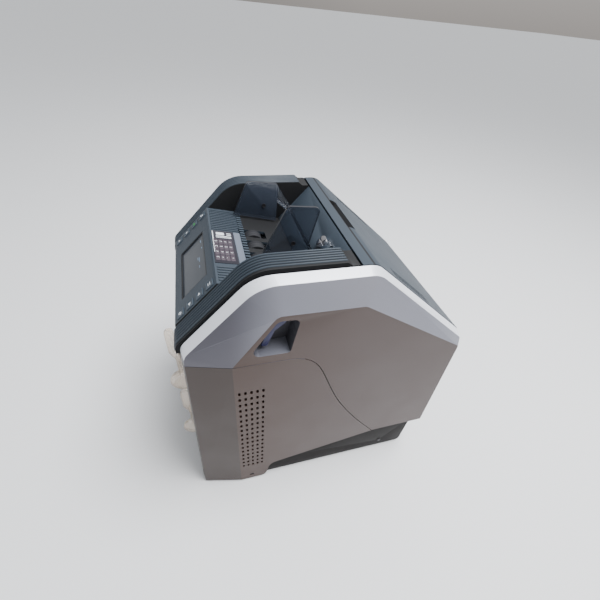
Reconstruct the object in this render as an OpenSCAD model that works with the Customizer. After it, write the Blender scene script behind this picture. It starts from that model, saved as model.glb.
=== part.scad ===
// Two-pocket desktop banknote validator: a tub and two steel frame plates carry the note path,
// two side shells close it, and the upper unit with the hopper and the display lifts at the front.
// Every outline in the Y-Z plane is written as [y, z].

/* [Body] */
// Width across the two side panels
body_w = 274; // [270:1:280]
// Height of the panel rim above the table
rim_z = 414; // [412:1:416]
// Height of the rubber feet under the tub
foot_h = 4; // [3:0.5:5]
// Wall thickness of the plastic shells
wall = 3; // [2.5:0.25:3.5]
// Gap between the upper panel and the lower cover
seam_gap = 0.8; // [0.5:0.1:1.2]

/* [Side vents] */
// Columns of vent slots in each lower cover
vent_cols = 5; // [3:1:6]
// Rows of vent slots in each lower cover
vent_rows = 17; // [8:1:17]
// Distance between vent columns
vent_pitch_y = 7.2; // [6.5:0.1:8]
// Distance between vent rows
vent_pitch_z = 12.65; // [11:0.05:12.65]
// Width of one vent slot
vent_w = 3.2; // [2.5:0.1:4]

/* [Display and keys] */
// Slope of the display face from the horizontal
face_angle = 47.3; // [46:0.1:48]
// Width of the display window
window_w = 92; // [80:1:96]
// Height of the display window along the slope
window_h = 46; // [38:1:50]
// Side of a square key
key_size = 11; // [8:0.5:11]
// Travel of a key
key_travel = 1.5; // [1:0.1:2]

/* [Hopper] */
// Slope of the hopper back plate from the horizontal
back_angle = 48; // [46:0.5:50]
// Fall of the feed deck towards the back
deck_fall = 12; // [10:0.5:13]
// Thickness of a note guide
guide_t = 3; // [2.5:0.1:4]
// Radius of the pick-up rollers
pickup_r = 13; // [11:0.5:14]

/* [Rear cover] */
// Louvres at each side of the rear cover
louvres = 14; // [6:1:14]
// Distance between the louvres
louvre_pitch = 5.8; // [5:0.1:5.8]

/* [Note path] */
// Radius of the main transport rollers
roller_r = 16; // [12:0.5:18]
// Radius of the shafts that carry the rollers
shaft_r = 4; // [3:0.5:5]
// Radius of the stacker wheels
stacker_r = 34; // [28:1:36]
// Vanes on one stacker wheel
stacker_vanes = 12; // [8:1:16]
// Radial clearance of a running fit
run_gap = 0.05; // [0.03:0.01:0.09]

/* [Hidden] */

hw = body_w / 2;
lid_pivot = [17, rim_z - 4.5];
gap_y = 21.5;
strip_x = hw - 24.5;
lid_x = strip_x - 0.6;
front_y = -178;
rear_y = 197;
reach_y = -rear_y;
block_y = -186;
tub_rear = 180;
tub_x = hw - 5.4;
plate_x = 104;
plate_t = 2;
seam_z = 311.4;
crease_z = rim_z - 33.5;
face_slope = tan(face_angle);
back_slope = tan(back_angle);
deck_slope = tan(deck_fall);
face_n = [-sin(face_angle), cos(face_angle)];
face_u = [cos(face_angle), sin(face_angle)];
face_foot = [-173, rim_z - 80];
crease = [-124, face_foot[1] + (-124 - face_foot[0]) * face_slope];
face_mid = (face_foot + crease) / 2;
face_len = norm(crease - face_foot);
back_top = [gap_y, rim_z];
valley_y = (crease[1] - deck_slope * -crease[0] - rim_z + back_slope * gap_y)
    / (back_slope + deck_slope);
valley = [valley_y, crease[1] - deck_slope * (valley_y - crease[0])];
rail_in = 84;
rail_top = rim_z + 5.5;
key_x = 75;
key_pitch = 17;
window_x = 8;
pickup_at = [-70, crease[1] - deck_slope * 54 + 2 - pickup_r];
slot_xs = [-27, 0, 27];
shaft_front = [-46, 300];
shaft_rear = [70, 270];
stack_up = [-98, 246];
stack_low = [-98, 112];
motor_at = [70, 130];
rear_pivot = [186, 96];
lever_pivot = [-62, 367];
switch_pivot = [178.5, 44];
stop_up = [331, 237];
stop_low = [213, 120];
stop_y = -164.5;
rail_bar = [22.5, -14];
guide_left_x = -70;
guide_right_x = 30;
knob_x = 40;
knob_up = 42;

// ---- outlines ------------------------------------------------------------------------------
function unit(v) = v / norm(v);
function turn(a) = a > 180 ? a - 360 : a < -180 ? a + 360 : a;
function corner(a, b, c, r, n) =
    let (u = unit(a - b), w = unit(c - b), half = acos(u * w) / 2,
        centre = b + unit(u + w) * (r / sin(half)),
        s = b + u * (r / tan(half)) - centre, e = b + w * (r / tan(half)) - centre,
        a0 = atan2(s[1], s[0]), da = turn(atan2(e[1], e[0]) - a0))
    [for (i = [0:n]) centre + r * [cos(a0 + da * i / n), sin(a0 + da * i / n)]];
// An outline with a radius at each corner, given as [y, z, radius]
function rounded(p, n = 6) = [for (i = [0:len(p) - 1])
    let (a = p[(i + len(p) - 1) % len(p)], b = p[i], c = p[(i + 1) % len(p)])
    each (b[2] == 0 ? [[b[0], b[1]]] : corner([a[0], a[1]], [b[0], b[1]], [c[0], c[1]], b[2], n))];
function bezier(a, b, c, d, n = 10) = [for (i = [0:n]) let (t = i / n, s = 1 - t)
    s * s * s * a + 3 * s * s * t * b + 3 * s * t * t * c + t * t * t * d];

// Rim of the side shells: the inner edge of the bright strip, and the same line dropped by d
function rim_line(d) = rounded([
    [front_y + d * 0.7, foot_h, 0], [-170 + d * 0.7, 312, 0], [-169 + d * 0.7, 329.6 - d, 20],
    [-91 + d * 0.9, rim_z - d, 45], [39.8 - d * 0.3, rim_z - d, 25],
    [rear_y - d * 0.4, 286 - d, 12], [rear_y - d * 0.4, foot_h, 0]]);
// Edge of the flat outer face of the side shells
function plateau_line(d) = rounded([
    [-118 + d, foot_h, 0], [-118 + d, seam_z, 4], [-70.6 + d * 0.6, crease_z - d, 10],
    [24.4, crease_z - 1 - d, 12], [182.8 - d, 281.2 - d, 6], [rear_y - 0.5 - d, 85, 0],
    [rear_y - 0.5 - d, foot_h, 0]], 4);
// The S-shaped seam, from the front corner to the lower rear
seam_curve = concat(bezier([-56, seam_z], [-14, seam_z], [-12, 276], [12.9, 222]),
    bezier([12.9, 222], [29, 184], [62, 134], [103.6, 81]));
// The lower edge of the vented cover
cover_foot = bezier([-84, foot_h], [-68, foot_h], [-80, 42], [-60, 45.5]);

// ---- helpers -------------------------------------------------------------------------------
// Draws a Y-Z outline as a slab from x of thickness t
module slab(x, t) translate([x, 0, 0]) rotate([90, 0, 90]) linear_extrude(t) children();
module yz(x, t, p) slab(x, t) polygon(p);
module rod_x(x0, x1, at, r, fn = 48)
    translate([x0, at[0], at[1]]) rotate([0, 90, 0]) cylinder(h = x1 - x0, r = r, $fn = fn);
module box(lo, hi) translate(lo) cube(hi - lo);
module both() { children(); mirror([1, 0, 0]) children(); }
// Puts children on the display face: x across, y up the slope, z out of the face
module on_face() translate([0, face_mid[0], face_mid[1]]) rotate([face_angle, 0, 0]) children();
// Puts children on the hopper back plate: origin at its foot
module on_back() translate([0, valley[0], valley[1]]) rotate([back_angle, 0, 0]) children();
module on_deck() translate([0, crease[0], crease[1]]) rotate([-deck_fall, 0, 0]) children();
module plate_round(w, h, t, r)
    linear_extrude(t) union() {
        square([w - 2 * r, h], center = true);
        square([w, h - 2 * r], center = true);
        for (sx = [-1, 1], sy = [-1, 1])
            translate([sx * (w / 2 - r), sy * (h / 2 - r)]) circle(r = r, $fn = 24);
    }

// ---- side shells ---------------------------------------------------------------------------
module side_block(d) hull() {
    yz(hw - d - 0.5, 0.5, plateau_line(d));
    yz(hw - 13 - d, 0.5, rim_line(4.5 + d));
    yz(strip_x - 1, 1, rim_line(d));
}
module side_shell() difference() {
    side_block(0);
    translate([-1, 0, -0.01]) side_block(wall);
    box([strip_x - 4, -200, -1], [strip_x, 220, rim_z + 10]);
}
module upper_area() polygon(concat([[-210, seam_z], [-57, seam_z]], seam_curve,
    [[210, 82.5], [210, rim_z + 20], [-210, rim_z + 20]]));
module lower_area() polygon(concat([[-210, foot_h], [-85, foot_h]], cover_foot, [[102, 80.2]],
    [for (i = [len(seam_curve) - 1:-1:0]) seam_curve[i] - [seam_gap, seam_gap * 0.6]],
    [[-210, seam_z - seam_gap]]));
recess_x = strip_x - 0.2;
recess_line = [[-101.5, 323.5, 8], [-54.5, 323.5, 5], [-46.5, 373, 6], [-70, 374, 9]];
module recess(grow) offset(r = grow) polygon(rounded(recess_line, 5));
module side_panel() difference() {
    union() {
        intersection() {
            side_shell();
            slab(strip_x - 2, 30) upper_area();
        }
        intersection() {
            slab(recess_x, hw - recess_x - 0.6) recess(2);
            side_block(0.4);
        }
        intersection() {
            union() {
                box([strip_x, 8, rim_z - 16], [strip_x + 9, 26, rim_z]);
                box([strip_x, rear_pivot[0] - 7, rear_pivot[1] - 7], [hw, rear_y, rear_pivot[1] + 7]);
            }
            side_block(0.4);
        }
    }
    slab(recess_x + 1.4, 40) recess(0);
    rod_x(100, 120, lever_pivot, 3 + run_gap);
    rod_x(strip_x - 1, strip_x + 7, lid_pivot, 2);
    rod_x(strip_x - 1, strip_x + 14, rear_pivot, 3);
}
module side_panel_right() color([0.64, 0.65, 0.68]) side_panel();
module side_panel_left() color([0.64, 0.65, 0.68]) mirror([1, 0, 0]) side_panel();

module vent_slot(y, z) slab(hw - 12, 24) translate([y, z]) union() {
    square([vent_w, vent_w], center = true);
    for (s = [-1, 1]) translate([0, s * vent_w / 2]) circle(r = vent_w / 2, $fn = 16);
}
cover_screw = [-100, 17.5];
tub_screw = [134.6, 22];
module side_cover() difference() {
    intersection() {
        side_shell();
        slab(strip_x - 2, 30) lower_area();
    }
    for (c = [0:vent_cols - 1], r = [0:vent_rows - 1])
        vent_slot(-112.4 + c * vent_pitch_y, 258.9 - r * vent_pitch_z);
    rod_x(hw - 12, hw + 2, cover_screw, 3.4, 32);
}
module side_cover_right() color([0.43, 0.38, 0.36]) side_cover();
module side_cover_left() color([0.43, 0.38, 0.36]) mirror([1, 0, 0]) side_cover();
module cover_screws() color([0.25, 0.25, 0.27]) both() {
    difference() {
        rod_x(tub_x - 5, hw - 0.8, cover_screw, 3.2, 32);
        box([hw - 2.4, cover_screw[0] - 2.4, cover_screw[1] - 0.5],
            [hw, cover_screw[0] + 2.4, cover_screw[1] + 0.5]);
    }
    difference() {
        rod_x(tub_x - 5, tub_x + 1.2, tub_screw, 3.2, 32);
        box([tub_x + 0.2, tub_screw[0] - 2.4, tub_screw[1] - 0.5],
            [tub_x + 2, tub_screw[0] + 2.4, tub_screw[1] + 0.5]);
    }
}

// ---- tub, feet and frames ------------------------------------------------------------------
tub_line = rounded([[-170, foot_h, 4], [-170, 34, 3], [-60, 44, 10], [104, 80, 10],
    [tub_rear, 82, 2], [tub_rear, foot_h, 6]]);
module base_tub() color([0.17, 0.14, 0.13]) difference() {
    union() {
        yz(-tub_x, 2 * tub_x, tub_line);
        box([-100, 150, 60], [100, tub_rear, 92]);
    }
    slab(-tub_x + wall, 2 * (tub_x - wall)) offset(delta = -wall) polygon(tub_line);
    box([-tub_x + wall, -167, 30], [tub_x - wall, 150, 100]);
    box([-96, 140, 20], [96, tub_rear - wall, 100]);
    both() {
        rod_x(tub_x - 6, tub_x + 2, tub_screw, 3.2, 32);
        rod_x(tub_x - 6, tub_x + 2, cover_screw, 3.2, 32);
        linear_extrude(100) polygon([[hw + 10, -112], [hw - 3.8, -112], [hw - 17.2, -173],
            [hw - 17.2, -190], [hw + 10, -190]]);
    }
    for (i = [-3:3]) box([i * 24 - 8, -100, foot_h - 1], [i * 24 + 8, -96, foot_h + 5]);
    box([27, tub_rear - 5, 31], [59, tub_rear + 5, 57]);
    box([72, tub_rear - 5, 34], [92, tub_rear + 5, 54]);
    rod_x(70.6, 93.4, switch_pivot, 1 + run_gap, 32);
}
foot_places = [[-112, -150], [112, -150], [-112, 160], [112, 160]];
module rubber_feet() color([0.06, 0.06, 0.06]) for (p = foot_places)
    translate([p[0], p[1], 0]) rotate_extrude($fn = 48)
        polygon([[0, 0], [9, 0], [10, 1.2], [9, foot_h], [0, foot_h]]);

module shaft_hole(at, r) rod_x(plate_x - 1, plate_x + plate_t + 1, at, r);
bearing_r = 8;
shafts = [stack_up, stack_low, shaft_front, shaft_rear];
frame_line = rounded([[-150, 20, 6], [-150, 160, 6], [-140, 296, 10], [-60, 330, 16], [20, 330, 16],
    [149, 250, 30], [149, 20, 6]]);
module frame_plate() difference() {
    yz(plate_x, plate_t, frame_line);
    for (s = shafts) shaft_hole(s, bearing_r);
    shaft_hole(motor_at, 14);
    shaft_hole([10, 90], 26);
    shaft_hole([0, 200], 34);
}
module frame_plate_right() color([0.62, 0.63, 0.65]) frame_plate();
module frame_plate_left() color([0.62, 0.63, 0.65]) mirror([1, 0, 0]) frame_plate();
rod_places = [[-140, 36], [-44, 40], [138, 100], [130, 225], [-18, 319]];
module tie_rods() color([0.72, 0.72, 0.74]) for (p = rod_places)
    rod_x(-plate_x, plate_x, p, 4);
module shaft_bearings() color([0.75, 0.75, 0.77]) both() for (s = shafts) difference() {
    union() {
        rod_x(plate_x, plate_x + 4, s, bearing_r);
        rod_x(plate_x - 1.2, plate_x, s, bearing_r + 1.5);
    }
    rod_x(plate_x - 3, plate_x + 6, s, shaft_r + run_gap);
}

// ---- pockets -------------------------------------------------------------------------------
module front_frame() color([0.12, 0.12, 0.13]) difference() {
    union() {
        yz(-lid_x, 2 * lid_x,
            rounded([[-174, 35, 3], [-168, 317, 3], [-163, 317, 1], [-169, 35, 1]], 4));
        both() for (s = [stop_up, stop_low])
            box([90, -170, s[1] - 7], [100, stop_y + 5, s[1] + 7]);
    }
    box([-90, -200, 212], [90, -140, 300]);
    box([-90, -200, 66], [90, -140, 196]);
    for (s = [stop_up, stop_low]) rod_x(-96, 96, [stop_y, s[1]], 2);
}
module pocket_shelf_upper() color([0.2, 0.2, 0.22]) difference() {
    yz(-100, 200, rounded([[-162, 207, 1], [-162, 201, 2], [-52, 188, 2], [-52, 194, 1]], 3));
    for (s = [-1, 1]) box([s * 45 - 12, -135, 180], [s * 45 + 12, -58, 215]);
}
module pocket_floor_lower() color([0.2, 0.2, 0.22]) difference() {
    yz(-100, 200, rounded([[-163, 60, 1], [-163, 54, 2], [-52, 50, 2], [-52, 56, 1]], 3));
    for (s = [-1, 1]) box([s * 45 - 12, -135, 40], [s * 45 + 12, -70, 70]);
}
// A clear stop: a cheek with a block and a finger lobe, a plate across the pocket and an ear.
// top is the upper end of the block and mid is the height of the lobe and of the hinge.
module stop_cheek(x, top, mid) slab(x, 4) union() {
    polygon(rounded([[-176, mid + 2, 1], [-176, top - 4, 2], [-178, top, 2], [block_y + 3, top, 3],
        [block_y, top - 4, 3], [block_y, mid + 57, 4], [block_y + 6, mid + 44, 6],
        [block_y + 6, mid + 2, 2]], 4));
    translate([-174, mid]) circle(r = 19, $fn = 48);
    polygon([[-176, mid - 8], [-176, mid + 8], [stop_y, mid + 8], [stop_y, mid - 8]]);
    translate([stop_y, mid]) circle(r = 8, $fn = 32);
}
module pocket_stop(top, mid, lip = false) difference() {
    union() {
        stop_cheek(84, top, mid);
        slab(-88, 4) union() {
            polygon([[-181, mid + 4], [-181, mid + 20], [stop_y, mid + 8], [stop_y, mid - 8]]);
            translate([stop_y, mid]) circle(r = 8, $fn = 32);
        }
        yz(-84, 168, rounded([[-178, mid + 4, 1], [-178, mid + 36, 1], [-181, mid + 36, 1],
            [-181, mid + 4, 1]], 3));
        if (lip) yz(-50, 60, rounded([[-180, mid + 12, 0], [-180, mid + 30, 4],
            [reach_y, mid + 32, 1], [reach_y, mid + 29, 1], [-184, mid + 26, 3],
            [-182, mid + 12, 1]], 3));
    }
    rod_x(-120, 120, [stop_y, mid], 2 + run_gap);
}
module stop_hinge_pins() color([0.7, 0.7, 0.72]) both() for (s = [stop_up, stop_low])
    rod_x(83, 96, [stop_y, s[1]], 2);
module pocket_stop_upper() color([0.85, 0.83, 0.78, 0.5]) pocket_stop(stop_up[0], stop_up[1]);
module pocket_stop_lower() color([0.85, 0.83, 0.78, 0.5]) pocket_stop(stop_low[0], stop_low[1], true);

// ---- turning parts -------------------------------------------------------------------------
module stacker_wheel(at) difference() {
    union() {
        rod_x(-5, 5, at, 12);
        for (i = [0:stacker_vanes - 1]) translate([-5, at[0], at[1]]) rotate([i * 360 / stacker_vanes, 0, 0])
            translate([0, 11, 0]) rotate([28, 0, 0]) cube([10, stacker_r - 11, 1.6]);
    }
    rod_x(-8, 8, at, shaft_r - 0.02);
}
module stacker(at) color([0.1, 0.12, 0.2]) {
    rod_x(-plate_x - 6, plate_x + 6, at, shaft_r);
    for (s = [-45, 45]) translate([s, 0, 0]) stacker_wheel(at);
}
module stacker_wheels_upper() stacker(stack_up);
module stacker_wheels_lower() stacker(stack_low);
module transport_shaft(at, pulley) color([0.3, 0.3, 0.32]) {
    rod_x(-plate_x - 6, plate_x + 6, at, shaft_r);
    for (s = [-60, -20, 20, 60]) rod_x(s - 9, s + 9, at, roller_r);
    if (pulley) rod_x(-plate_x - 14, -plate_x - 6, at, 12);
}
module transport_shaft_front() transport_shaft(shaft_front, false);
module transport_shaft_rear() transport_shaft(shaft_rear, true);
module path_guide_rear() color([0.14, 0.14, 0.15])
    yz(-98, 196, rounded([[93, 236, 2], [106, 296, 14], [84, 322, 2], [87, 327, 2], [112, 298, 16],
        [98, 233, 2]], 4));
module motor_pulley() color([0.7, 0.7, 0.72]) {
    rod_x(-plate_x - 14, -plate_x - 6, motor_at, 12);
    rod_x(-plate_x - 6, -plate_x + 4, motor_at, 3);
}
module drive_motor() color([0.35, 0.36, 0.38]) difference() {
    union() {
        rod_x(-plate_x, -plate_x + 62, motor_at, 24);
        rod_x(-plate_x + 62, -plate_x + 68, motor_at, 10);
    }
    rod_x(-plate_x - 1, -plate_x + 6, motor_at, 3 + run_gap);
}
// Straight-sided loop of radius r around the two pulleys, which stand one above the other
function loop_line(r) = concat([for (a = [0:6:180]) shaft_rear + r * [cos(a), sin(a)]],
    [for (a = [180:6:360]) motor_at + r * [cos(a), sin(a)]]);
module drive_belt() color([0.05, 0.05, 0.05]) slab(-plate_x - 13, 6) difference() {
    polygon(loop_line(13.9));
    polygon(loop_line(12.4));
}

// ---- electrics -----------------------------------------------------------------------------
module power_supply() color([0.7, 0.7, 0.68]) difference() {
    box([-92, -30, foot_h + wall], [-10, 110, 48]);
    for (i = [0:7]) box([-80 + i * 8, 0, 46], [-76 + i * 8, 80, 52]);
}
module main_board() color([0.1, 0.35, 0.2]) union() {
    box([96, -50, 170], [97.6, 60, 250]);
    box([90, -40, 200], [96, -20, 220]);
    box([88, 10, 190], [96, 30, 230]);
    box([92, -10, 180], [96, 4, 186]);
}
module power_inlet() color([0.05, 0.05, 0.05]) difference() {
    union() {
        box([27, 160, 31], [59, tub_rear, 57]);
        box([22, tub_rear, 27], [64, tub_rear + 2.5, 61]);
    }
    box([31, 166, 34.5], [55, 190, 53.5]);
}
module power_switch() color([0.07, 0.07, 0.07]) {
    yz(74, 16, rounded([[176.4, 37, 1], [176.4, 51, 1], [182.4, 51.8, 1], [181, 44, 6],
        [182.4, 36.2, 1]], 3));
    rod_x(70.8, 93.2, switch_pivot, 1, 32);
}
module sensor_bar() color([0.13, 0.13, 0.14]) difference() {
    box([-98, -12, 296], [98, 8, 312]);
    box([-92, -6, 300], [92, 12, 308]);
}
fan_at = [-62, 140, 140];
module rod_y(y0, y1, r, fn = 48) translate([fan_at[0], y0, fan_at[2]]) rotate([-90, 0, 0])
    cylinder(h = y1 - y0, r = r, $fn = fn);
module cooling_fan() color([0.08, 0.08, 0.08]) difference() {
    union() {
        difference() {
            box([-92, 140, 110], [-32, 156, 170]);
            rod_y(139, 157, 28, 64);
        }
        rod_y(152, 156, 9);
        for (a = [0:90:270]) translate([fan_at[0], 153, fan_at[2]]) rotate([0, a, 0])
            translate([7, 0, -1.5]) cube([22, 3, 3]);
    }
    rod_y(150, 155, 5 + run_gap);
}
module fan_rotor() color([0.15, 0.15, 0.16]) {
    rod_y(141.5, 150.5, 11);
    rod_y(150, 154.8, 5);
    for (i = [0:6]) translate([fan_at[0], 142.5, fan_at[2]]) rotate([0, i * 360 / 7, 0])
        translate([10, 0, 0]) rotate([35, 0, 0]) translate([0, 0, -0.7]) cube([16, 7, 1.4]);
}

// ---- upper unit ----------------------------------------------------------------------------
// Profile of the ribbed rails, dropped by d from their top
function rail_line(d) = rounded([
    [gap_y, 352, 0], [gap_y, rim_z + 1 - d, 3], [gap_y - 10, rim_z + 1 - d, 0],
    [gap_y - 16, rail_top - d, 3], [-91 + d * 0.6, rail_top - d, 45],
    [-174 + d * 1.4, rail_top - d - (83 - d * 0.8) * face_slope, 14],
    [-174 + d * 1.4, 319, 0], [-160, 319, 0], [-118, 352, 0]]);
module rail() difference() {
    yz(rail_in, lid_x - rail_in, rail_line(0));
    intersection() {
        yz(rail_in + wall, lid_x - rail_in - 2 * wall, rail_line(wall));
        box([0, -167, 322], [150, gap_y - wall, rail_top]);
    }
}
module upper_cover() color([0.27, 0.31, 0.34]) difference() {
    union() {
        both() rail();
        on_face() translate([0, 0, -wall]) linear_extrude(wall)
            square([2 * rail_in, face_len], center = true);
        yz(-rail_in, 2 * rail_in, [[-173, 319], [-173, face_foot[1]], [-170, face_foot[1] + 2], [-170, 319]]);
        yz(-rail_in, 2 * rail_in, [crease, valley, valley - [0, wall], crease - [1, wall + 1]]);
    }
    on_face() {
        translate([window_x - window_w / 2, -window_h / 2, -10]) cube([window_w, window_h, 20]);
        for (s = [-1, 1], i = [-1.5:1.5])
            translate([s * key_x - (key_size + 0.8) / 2, i * key_pitch - (key_size + 0.8) / 2, -10])
                cube([key_size + 0.8, key_size + 0.8, 20]);
    }
    for (x = slot_xs) box([x - 9, -88, 340], [x + 9, -52, 400]);
    both() {
        rod_x(rail_in + wall, lid_x + 2, lid_pivot, 2 + run_gap);
        rod_x(rail_in - 2, rail_in + 2.6, pickup_at, 3 + run_gap);
    }
    rail_bar_solid(rail_in + 2);
}
module rail_bar_solid(reach) on_back() translate([-reach, rail_bar[0], rail_bar[1]])
    rotate([0, 90, 0]) cylinder(h = 2 * reach, r = 3, $fn = 48);
module hopper_back() color([0.42, 0.47, 0.51]) on_back() difference() {
    translate([-rail_in, 0.6, -wall]) cube([2 * rail_in, norm(back_top - valley) - 1.6, wall]);
    translate([-78, rail_bar[0] - 2.6, -10]) cube([156, 5.2, 20]);
    translate([knob_x, knob_up, -10]) cylinder(h = 20, r = 3 + run_gap, $fn = 48);
}
module display_module() color([0.12, 0.25, 0.16]) on_face() {
    translate([-81, -32, -12]) cube([162, 64, 5.5]);
    translate([-56, -28, -7]) cube([112, 56, 4]);
}
module display_window() color([0.33, 0.36, 0.4]) on_face()
    translate([window_x - window_w / 2 + 0.2, -window_h / 2 + 0.2, -wall])
        cube([window_w - 0.4, window_h - 0.4, wall - 1]);
module keypad_pad() color([0.08, 0.08, 0.1]) on_deck()
    translate([-23, 1.5, 0.02]) cube([70, 27, 0.8]);
module key_cap(s, i) color([0.3, 0.33, 0.36]) on_face() translate([s * key_x, (i - 2.5) * -key_pitch, 0]) {
    translate([0, 0, -3]) plate_round(key_size, key_size, 4, 1.2);
    translate([0, 0, -4.5]) cylinder(h = 2, r = 3, $fn = 32);
}
module key_left_1() key_cap(-1, 1);
module key_left_2() key_cap(-1, 2);
module key_left_3() key_cap(-1, 3);
module key_left_4() key_cap(-1, 4);
module key_right_1() key_cap(1, 1);
module key_right_2() key_cap(1, 2);
module key_right_3() key_cap(1, 3);
module key_right_4() key_cap(1, 4);
module pickup_shaft() color([0.12, 0.12, 0.13]) {
    rod_x(-rail_in - 2.4, rail_in + 2.4, pickup_at, 3);
    for (x = slot_xs) rod_x(x - 7, x + 7, pickup_at, pickup_r);
}
module guide_rail() color([0.75, 0.76, 0.78]) rail_bar_solid(rail_in + 2);
// Outlines of the tinted guide plates; each foot follows the deck and the back plate
left_line = [[-92, 350, 0], [-90, 381, 5], [-70, rim_z + 15, 6], [-27, rim_z + 11, 6],
    [-30, 350, 0]];
right_line = [[-66, 350, 0], [-66, 384, 5], [-39, rim_z + 28, 6], [0, rim_z + 25, 6],
    [-12.4, 380, 2], [-12.4, 350, 0]];
module guide_plate(x, line) slab(x - guide_t / 2, guide_t) intersection() {
    polygon(rounded(line));
    polygon([crease + [0, 4], valley + [-4, 4], back_top + [-8, 2], [20, 500], [-124, 500]]);
}
module note_guide(x, line) color([0.2, 0.2, 0.25, 0.7]) {
    guide_plate(x, line);
    on_back() {
        difference() {
            translate([x - 5, rail_bar[0] - 5, rail_bar[1] - 5]) cube([10, 10, 10]);
            translate([x - 6, rail_bar[0], rail_bar[1]]) rotate([0, 90, 0])
                cylinder(h = 12, r = 3 + run_gap, $fn = 48);
        }
        translate([x - guide_t / 2, rail_bar[0] - 2, rail_bar[1] + 4]) cube([guide_t, 4, 46]);
    }
}
module note_guide_left() note_guide(guide_left_x, left_line);
module note_guide_right() note_guide(guide_right_x, right_line);
module gap_knob() color([0.85, 0.85, 0.87]) on_back() translate([knob_x, knob_up, 0]) difference() {
    union() {
        translate([0, 0, 0.3]) cylinder(h = 5, r = 7.5, $fn = 64);
        translate([0, 0, -8]) cylinder(h = 10, r = 3, $fn = 48);
    }
    translate([-10, -1.1, 3.8]) cube([20, 2.2, 3]);
}
module lid_hinge_pins() color([0.7, 0.7, 0.72]) both()
    rod_x(lid_x - 8, strip_x + 7, lid_pivot, 2);
module release_lever() {
    yz(114, 14, rounded([[-86, 330, 2], [-79, 330, 2], [-71, 352, 3], [-60, 362, 2], [-58, 370, 2],
        [-66, 370, 2], [-76, 358, 3]], 3));
    rod_x(recess_x + 0.1, 126, lever_pivot, 3);
}
module release_lever_right() color([0.05, 0.09, 0.35]) release_lever();
module release_lever_left() color([0.05, 0.09, 0.35]) mirror([1, 0, 0]) release_lever();

// ---- rear cover ----------------------------------------------------------------------------
function rear_line(d) = rounded([
    [gap_y + 1.2, rim_z + 1 - d, 0], [39.8 - d * 0.3, rim_z + 1 - d, 22],
    [rear_y - d, 287 - d, 14], [rear_y - d, 94, 0]]);
rear_skin = concat(rear_line(0), [for (i = [len(rear_line(wall)) - 1:-1:0]) rear_line(wall)[i]]);
module on_rear() translate([0, 54, 402.6]) rotate([-39.15, 0, 0]) children();
module rear_cover() color([0.36, 0.4, 0.44]) difference() {
    union() {
        difference() {
            yz(-lid_x, 2 * lid_x, rear_skin);
            on_rear() translate([-36, -22, -9]) cube([72, 11, 20]);
        }
        intersection() {
            yz(-60, 120, concat(rear_line(0.6), [[gap_y + 1.2, 94]]));
            on_rear() translate([-38, -24, -13]) difference() {
                cube([76, 15, 20]);
                translate([2, 2, 2]) cube([72, 11, 30]);
            }
        }
        both() yz(lid_x - 6, 3, rounded([[rear_pivot[0] - 8, rear_pivot[1] - 8, 6],
            [rear_pivot[0] - 8, rear_pivot[1] + 14, 4], [rear_y - 2, rear_pivot[1] + 20, 1],
            [rear_y - 2, rear_pivot[1] - 2, 1]], 4));
    }
    both() for (i = [0:louvres - 1])
        on_rear() translate([88, 24 + i * louvre_pitch, -10]) cube([18, 2.6, 20]);
    rod_x(-lid_x - 2, lid_x + 2, rear_pivot, 3 + run_gap);
}
module rear_hinge_pins() color([0.7, 0.7, 0.72]) both()
    rod_x(lid_x - 8, strip_x + 14, rear_pivot, 3);

base_tub();
rubber_feet();
side_panel_right();
side_panel_left();
side_cover_right();
side_cover_left();
cover_screws();
frame_plate_right();
frame_plate_left();
tie_rods();
shaft_bearings();
front_frame();
pocket_shelf_upper();
pocket_floor_lower();
pocket_stop_upper();
pocket_stop_lower();
stop_hinge_pins();
stacker_wheels_upper();
stacker_wheels_lower();
transport_shaft_front();
transport_shaft_rear();
path_guide_rear();
drive_motor();
motor_pulley();
drive_belt();
power_supply();
main_board();
power_inlet();
power_switch();
sensor_bar();
cooling_fan();
fan_rotor();
upper_cover();
hopper_back();
display_module();
display_window();
keypad_pad();
key_left_1();
key_left_2();
key_left_3();
key_left_4();
key_right_1();
key_right_2();
key_right_3();
key_right_4();
pickup_shaft();
guide_rail();
note_guide_left();
note_guide_right();
gap_knob();
lid_hinge_pins();
release_lever_right();
release_lever_left();
rear_cover();
rear_hinge_pins();
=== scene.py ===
"""Detailed visual model of a desktop banknote validator, built over its jointed frame."""

import math

import bpy
from mathutils import Euler, Matrix, Vector


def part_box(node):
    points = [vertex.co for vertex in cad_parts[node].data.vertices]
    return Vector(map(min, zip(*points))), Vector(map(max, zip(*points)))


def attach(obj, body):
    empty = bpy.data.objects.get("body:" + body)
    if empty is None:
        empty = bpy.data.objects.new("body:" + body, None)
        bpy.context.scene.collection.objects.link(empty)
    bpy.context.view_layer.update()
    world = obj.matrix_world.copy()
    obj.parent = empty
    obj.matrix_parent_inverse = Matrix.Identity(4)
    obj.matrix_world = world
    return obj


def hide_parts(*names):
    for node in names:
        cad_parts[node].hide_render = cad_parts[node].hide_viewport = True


bl_info = {
    "name": "Banknote Validator",
    "version": (1, 0, 0),
    "blender": (4, 5, 0),
    "location": "View3D > Sidebar > Validator",
    "description": "Builds the pieces of a two-pocket banknote validator and its studio stage",
    "category": "Add Mesh",
}

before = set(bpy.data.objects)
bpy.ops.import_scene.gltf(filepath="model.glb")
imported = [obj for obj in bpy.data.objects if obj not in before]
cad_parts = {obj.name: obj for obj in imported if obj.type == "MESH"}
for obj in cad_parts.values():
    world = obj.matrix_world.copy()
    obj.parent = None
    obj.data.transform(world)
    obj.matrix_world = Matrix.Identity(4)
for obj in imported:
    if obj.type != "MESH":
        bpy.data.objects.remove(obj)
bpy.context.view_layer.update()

MM = 0.001
WELD = 0.00001
SIDES = (("right", 1), ("left", -1))

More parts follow.
